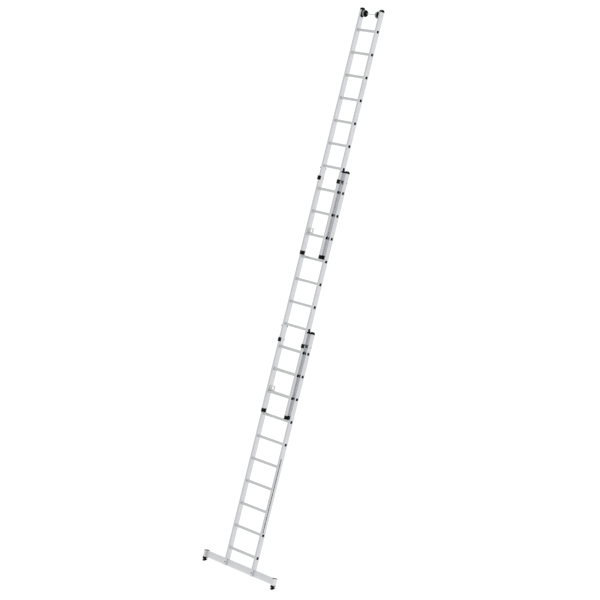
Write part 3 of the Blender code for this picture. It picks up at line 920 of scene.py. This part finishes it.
def build_markings():
    """A plain film on the right bottom stile with a row of blank bars, and a rivet higher up."""
    at = FRAMES["bottom"]
    face = HALF["bottom"] + TOUCH
    outline = rounded((-FILM_WIDTH / 2, FILM_WIDTH / 2), (FILM_LOW, FILM_HIGH), FILM_ROUND)
    film = prism(outline, "X", face, face + FILM_THICKNESS)
    add("marking_film", film, at, BODY["bottom"], FILM)
    y = (BAR_ROW_Y - BAR_ROW_WIDTH / 2, BAR_ROW_Y + BAR_ROW_WIDTH / 2)
    start = face + FILM_THICKNESS
    z = FILM_LOW + BAR_ROW_INSET
    bars = []
    while z + max(BAR_LENGTHS) < FILM_HIGH - BAR_ROW_INSET:
        length = BAR_LENGTHS[len(bars) % len(BAR_LENGTHS)]
        bars.append(prism(rounded(y, (z, z + length), BAR_ROW_ROUND), "X", start, start + TOUCH))
        z += length + BAR_ROW_GAP
    for i, bar in enumerate(bars):
        add(f"marking_bar_{i + 1:02d}", bar, at, BODY["bottom"], INK)
    face = HALF["middle"]
    stem = RIVET_RADIUS * 0.6
    profile = [(face - 0.001, stem), (face + TOUCH, stem), (face + TOUCH, RIVET_RADIUS)]
    for i in range(1, RIVET_STEPS + 1):
        turn = math.pi / 2 * i / RIVET_STEPS
        radius = max(RIVET_RADIUS * math.cos(turn), 0.0004)
        profile.append((face + TOUCH + RIVET_HEIGHT * math.sin(turn), radius))
    rivet = lathe(profile, (RIVET_Y, RIVET_ABOVE))
    add("middle_stile_right_rivet", rivet, FRAMES["middle"], BODY["middle"], BOLT_STEEL)


# ---- rollers ----
def mirrored(profile):
    """A turned profile from its left half to the same half on the right."""
    return profile + [(-x, radius) for x, radius in reversed(profile)]


def roller_disc(side, rim, hub_end):
    """The disc inside a tread: rim, web, six ribs and a hub that is longer towards the leg."""
    web = [(-x, radius) for x, radius in HUB_PROFILE]
    web += mirrored([(-x, rim - depth) for x, depth in RIM_PROFILE])
    web.append(HUB_PROFILE[-1])
    web += [(hub_end - inward, radius) for inward, radius in LONG_HUB]
    disc = lathe([(side * x, radius) for x, radius in web], (0, 0), sides=72, closed=True)
    ribs = []
    for i in range(SPOKES):
        y = (SPOKE_START, rim - SPOKE_INSET)
        rib = box((-SPOKE_REACH, SPOKE_REACH), y, (-SPOKE_HALF, SPOKE_HALF), 0.0008)
        turn = 360 / SPOKES * i + SPOKE_TURN
        rib.transform(Matrix.Rotation(math.radians(turn), 4, "X"))
        ribs.append(rib)
    return union(disc, *ribs)


def build_rollers():
    """Grey treads on black discs with six ribs, on one steel axle with two black collars."""
    for name, side in SIDES.items():
        node = f"roller_{name}"
        low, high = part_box(node)
        centre = joint_point(f"{node}_spin")
        place = Matrix.Translation(centre)
        radius = centre.y - low.y
        tread = [(inward - ROLLER_HALF, radius - drop) for inward, drop in TREAD_EDGE]
        tread += [(-x, radius - depth) for x, depth in TREAD_GROOVE]
        tyre = lathe(mirrored(tread), (0, 0), sides=72, closed=True)
        add(f"{node}_tyre", tyre, place, node, TYRE_RUBBER, 0, [node])
        hub_end = abs(max(abs(low.x), abs(high.x)) - abs(centre.x))
        disc = roller_disc(side, radius - DISC_INSET - TOUCH, hub_end)
        add(f"{node}_disc", disc, place, node, BLACK_PLASTIC, 0.0004)
    at = FRAMES["top"]
    spin = joint_at("roller_left_spin", "top")
    centre = (spin.y, spin.z)
    reach = extent("roller_axle", "top")[1].x
    ring = abs(spin.x) - COLLAR_PLACE
    tip = [(reach, AXLE_TIP), (reach - AXLE_CHAMFER, AXLE_RADIUS)]
    axle = lathe(mirrored(tip), centre, sides=32)
    add("roller_axle_turned", axle, at, BODY["top"], STEEL, 0, ["roller_axle"])
    for name, side in SIDES.items():
        profile = [(side * (ring - inward), radius) for inward, radius in COLLAR_PROFILE]
        collar = lathe(profile, centre, sides=32, closed=True)
        add(f"roller_collar_{name}", collar, at, BODY["top"], BLACK_PLASTIC)


# ---- stabiliser bar and feet ----
def build_crossbar():
    """Hollow bar, two saddle brackets with bolts, two end clamps, and the tongues for the feet."""
    at = FRAMES["bottom"]
    body = BODY["bottom"]
    low, high = extent("crossbar", "bottom")
    stile_end = extent("bottom_stile_left", "bottom")[0].z
    bar_top = stile_end - BAR_DROP
    bar_low = bar_top - BAR_HEIGHT
    level = (bar_low + bar_top) / 2
    outer = rounded((BAR_FRONT, BAR_BACK), (bar_low, bar_top), 0.003)
    inner = rounded(
        (BAR_FRONT + BAR_WALL, BAR_BACK - BAR_WALL),
        (bar_low + BAR_WALL, bar_top - BAR_WALL),
        0.0015,
    )
    bar = tube(outer, inner, "X", -BAR_HALF, BAR_HALF)
    hole = [(BAR_BACK - THROUGH, DRAIN_RADIUS), (BAR_BACK + THROUGH, DRAIN_RADIUS)]
    bar = cut(bar, lathe(hole, (0, level), "Y"))
    add("crossbar_beam", bar, at, body, BAR_METAL, 0.0003, ["crossbar"])
    depth = STILE_DEPTH / 2
    for name, side in SIDES.items():
        x = across(side, HALF["bottom"] - STILE_WIDTH, HALF["bottom"])
        shell = box(x, (-depth, BAR_FRONT - TOUCH), (bar_low, bar_top), SADDLE_ROUND)
        room = box(
            (x[0] + SADDLE_WALL, x[1] - SADDLE_WALL),
            (SADDLE_WALL - depth, BAR_FRONT + THROUGH),
            (bar_low - THROUGH, bar_top + THROUGH),
        )
        add(f"saddle_{name}", cut(shell, room), at, body, BAR_METAL, 0.0004)
        plate = box(
            (x[0] - PLATE_LIP, x[1] + PLATE_LIP),
            (-depth - PLATE_LIP, depth),
            (bar_top + TOUCH, stile_end - TOUCH),
            SADDLE_ROUND,
        )
        add(f"saddle_plate_{name}", plate, at, body, BAR_METAL, 0.0004)
        bolt = hex_bolt(-1, -depth - TOUCH, (0, 0), SADDLE_BOLT)
        bolt.transform(Matrix.Rotation(math.radians(90), 4, "Z"))
        bolt.transform(Matrix.Translation(((x[0] + x[1]) / 2, 0, level)))
        add(f"saddle_bolt_{name}", bolt, at, body, DARK_STEEL, FINE_EDGE)
        build_clamp(name, side, max(abs(low.x), abs(high.x)), bar_low, bar_top)


def build_clamp(name, side, end, bar_low, bar_top):
    """An end clamp with its tongue, the lid on it, and the rubber sleeve and buffer under it."""
    at = FRAMES["bottom"]
    body = BODY["bottom"]
    start = end - CLAMP_LENGTH
    middle = (bar_low + bar_top) / 2
    top = middle + CLAMP_ABOVE
    base = middle - CLAMP_BELOW
    sleeve_top = base + SLEEVE_HEIGHT
    y = (CLAMP_FRONT, CLAMP_BACK)
    shell = prism(rounded(y, (sleeve_top, top), CLAMP_ROUND), "X", *across(side, start, end))
    room = prism(
        rounded(
            (CLAMP_FRONT + CLAMP_WALL, RECESS_BACK),
            (sleeve_top + CLAMP_WALL, top - CLAMP_WALL),
            0.0015,
        ),
        "X",
        *across(side, start - THROUGH, start + RECESS),
    )
    bed = prism(
        rounded(
            (BAR_FRONT - BED_GAP, BAR_BACK + BED_GAP),
            (bar_low - BED_GAP, bar_top + BED_GAP),
            BED_ROUND,
        ),
        "X",
        *across(side, start - THROUGH, BAR_HALF + BED_END_GAP),
    )
    pivot = joint_at(f"foot_{name}_tilt", "bottom")
    outline = [
        *arc((pivot.y, pivot.z), TONGUE_ROUND, 180, 360, 16),
        (pivot.y + TONGUE_ROUND, sleeve_top + 0.001),
        (pivot.y - TONGUE_ROUND, sleeve_top + 0.001),
    ]
    foot_x = abs(pivot.x)
    tongue = prism(outline, "X", *across(side, foot_x - TONGUE_HALF, foot_x + TONGUE_HALF))
    hole = [(side * (foot_x - 2 * THROUGH), PIN_BORE), (side * (foot_x + 2 * THROUGH), PIN_BORE)]
    bore = lathe(hole, (pivot.y, pivot.z), sides=24)
    clamp = union(cut(shell, room, bed), cut(tongue, bore))
    add(f"clamp_{name}", clamp, at, body, BAR_METAL, 0.0005)
    sleeve = box(across(side, start, end), y, (base, sleeve_top - TOUCH), CLAMP_ROUND)
    wide = TONGUE_HALF + WINDOW_GAP
    deep = TONGUE_ROUND + WINDOW_GAP
    window = box(
        across(side, foot_x - wide, foot_x + wide),
        (pivot.y - deep, pivot.y + deep),
        (base - THROUGH, sleeve_top + THROUGH),
        0.0004,
    )
    add(f"clamp_sleeve_{name}", cut(sleeve, window), at, body, FOOT_RUBBER, 0.0005)
    lid = box(
        across(side, start - LID_INNER_LIP, end + LID_OUTER_LIP),
        (CLAMP_FRONT - LID_FRONT_LIP, CLAMP_BACK + LID_BACK_LIP),
        (top + TOUCH, top + LID_THICKNESS),
        CLAMP_ROUND,
    )
    add(f"clamp_lid_{name}", lid, at, body, LID_PLASTIC, 0.0010)
    buffer = box(
        across(side, start + BUFFER_INSET, end - BUFFER_INSET),
        tuple(pivot.y - depth for depth in BUFFER_DEPTHS),
        (pivot.z - BUFFER_DROP, base - TOUCH),
        0.0025,
    )
    add(f"clamp_buffer_{name}", buffer, at, body, FOOT_RUBBER, 0.0012)


def build_feet():
    """Rubber feet with a grooved sole and a raised heel, and a black pin with round heads."""
    for name, side in SIDES.items():
        node = f"foot_{name}"
        pivot = joint_point(f"{node}_tilt")
        low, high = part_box(node)
        place = Matrix.Translation(pivot)
        half = (high.x - low.x) / 2
        length = (high.y - low.y) / 2
        sole = -pivot.z
        outline = [(TOE_CHAMFER - length, sole)]
        outline += [(y, sole + up) for y, up in SOLE_HEEL]
        outline += [(length - inward, sole + up) for inward, up in HEEL_END]
        outline.append((HEEL_TOP[0], sole + HEEL_TOP[1]))
        outline += arc((0, 0), TONGUE_ROUND, -20, 215, 26)
        outline.append((TOE_TOP[0], sole + TOE_TOP[1]))
        outline += [(inward - length, sole + up) for inward, up in TOE_END]
        body = prism(outline, "X", -half, half)
        room = box((-FORK_ROOM, FORK_ROOM), (-0.04, 0.04), (FORK_FLOOR, 0.03), 0.0004)
        x = (-half - THROUGH, half + THROUGH)
        z = (sole - THROUGH, sole + SOLE_GROOVE_DEPTH)
        grooves = []
        for i in SOLE_GROOVES:
            y = i * SOLE_GROOVE_PITCH
            grooves.append(box(x, (y - SOLE_GROOVE_HALF, y + SOLE_GROOVE_HALF), z, 0.0003))
        body = cut(body, room, *grooves)
        add(f"{node}_rubber", body, place, node, FOOT_RUBBER, 0.0008, [node])
        pin = lathe(mirrored([(half + out, radius) for out, radius in FOOT_PIN]), (0, 0), sides=24)
        add(f"{node}_pin", pin, place, node, BLACK_STEEL)


# ---- stage, light and camera ----
def build_stage():
    """A wide pale floor."""
    mesh = bpy.data.meshes.new("floor")
    ring = [(*point, 0) for point in circle((0, 0), FLOOR_REACH, FLOOR_SIDES)]
    mesh.from_pydata(ring, [], [list(range(FLOOR_SIDES))])
    floor = bpy.data.objects.new("floor", mesh)
    bpy.context.scene.collection.objects.link(floor)
    floor.location.z = -TOUCH
    made = Nodes("floor_paint")
    cloud = made.noise((0.3, 0.3, 0.3), detail=2.0)
    made.colour(cloud, (0.24, 0.24, 0.24), (0.26, 0.26, 0.26))
    made.set(Roughness=0.9, Specular_IOR_Level=0.0)
    made.set(Emission_Color=(1, 1, 1, 1), Emission_Strength=FLOOR_GLOW)
    mesh.materials.append(made.material)


def build_light():
    """A soft key from the right and behind, and a pale surround that is dimmer in front on the left."""
    sun = bpy.data.lights.new("key", "SUN")
    sun.energy = KEY_ENERGY
    sun.angle = math.radians(KEY_ANGLE)
    key = bpy.data.objects.new("key", sun)
    key.location = (6, 6, 12)
    key.rotation_euler = KEY_FROM.to_track_quat("Z", "Y").to_euler()
    bpy.context.scene.collection.objects.link(key)
    world = bpy.data.worlds.new("studio")
    world.use_nodes = True
    tree = world.node_tree
    place = tree.nodes.new("ShaderNodeTexCoord")
    towards = tree.nodes.new("ShaderNodeVectorMath")
    towards.operation = "DOT_PRODUCT"
    towards.inputs[1].default_value = BRIGHT_SIDE.normalized()
    spread_out = tree.nodes.new("ShaderNodeMapRange")
    spread_out.inputs["From Min"].default_value = -1.0
    spread_out.inputs["From Max"].default_value = 1.0
    spread_out.inputs["To Min"].default_value = SURROUND[0]
    spread_out.inputs["To Max"].default_value = SURROUND[1]
    tree.links.new(place.outputs["Generated"], towards.inputs[0])
    tree.links.new(towards.outputs["Value"], spread_out.inputs["Value"])
    background = tree.nodes["Background"]
    background.inputs["Color"].default_value = (1, 1, 1, 1)
    tree.links.new(spread_out.outputs["Result"], background.inputs["Strength"])
    bpy.context.scene.world = world
    bpy.context.scene.view_settings.view_transform = "Standard"


def build_camera():
    azimuth = math.radians(CAMERA_AZIMUTH)
    elevation = math.radians(CAMERA_ELEVATION)
    flat = math.cos(elevation)
    back = Vector((math.sin(azimuth) * flat, -math.cos(azimuth) * flat, math.sin(elevation)))
    data = bpy.data.cameras.new("camera")
    data.lens = CAMERA_LENS
    data.sensor_width = CAMERA_SENSOR
    camera = bpy.data.objects.new("camera", data)
    camera.location = CAMERA_TARGET + back * CAMERA_DISTANCE
    roll = Matrix.Rotation(math.radians(CAMERA_ROLL), 4, "Z")
    camera.rotation_euler = (back.to_track_quat("Z", "Y").to_matrix().to_4x4() @ roll).to_euler()
    bpy.context.scene.collection.objects.link(camera)
    bpy.context.scene.camera = camera


build_camera()
build_light()
build_stage()
RUNG_PLUG = plug_mesh()
for each in SECTIONS:
    build_stiles(each)
    build_rungs(each, RUNG_PLUG)
    build_caps(each)
for each in NEXT:
    build_guides(each)
for each in NEXT.values():
    build_shoes(each)
    build_hooks(each)
build_markings()
build_rollers()
build_crossbar()
build_feet()
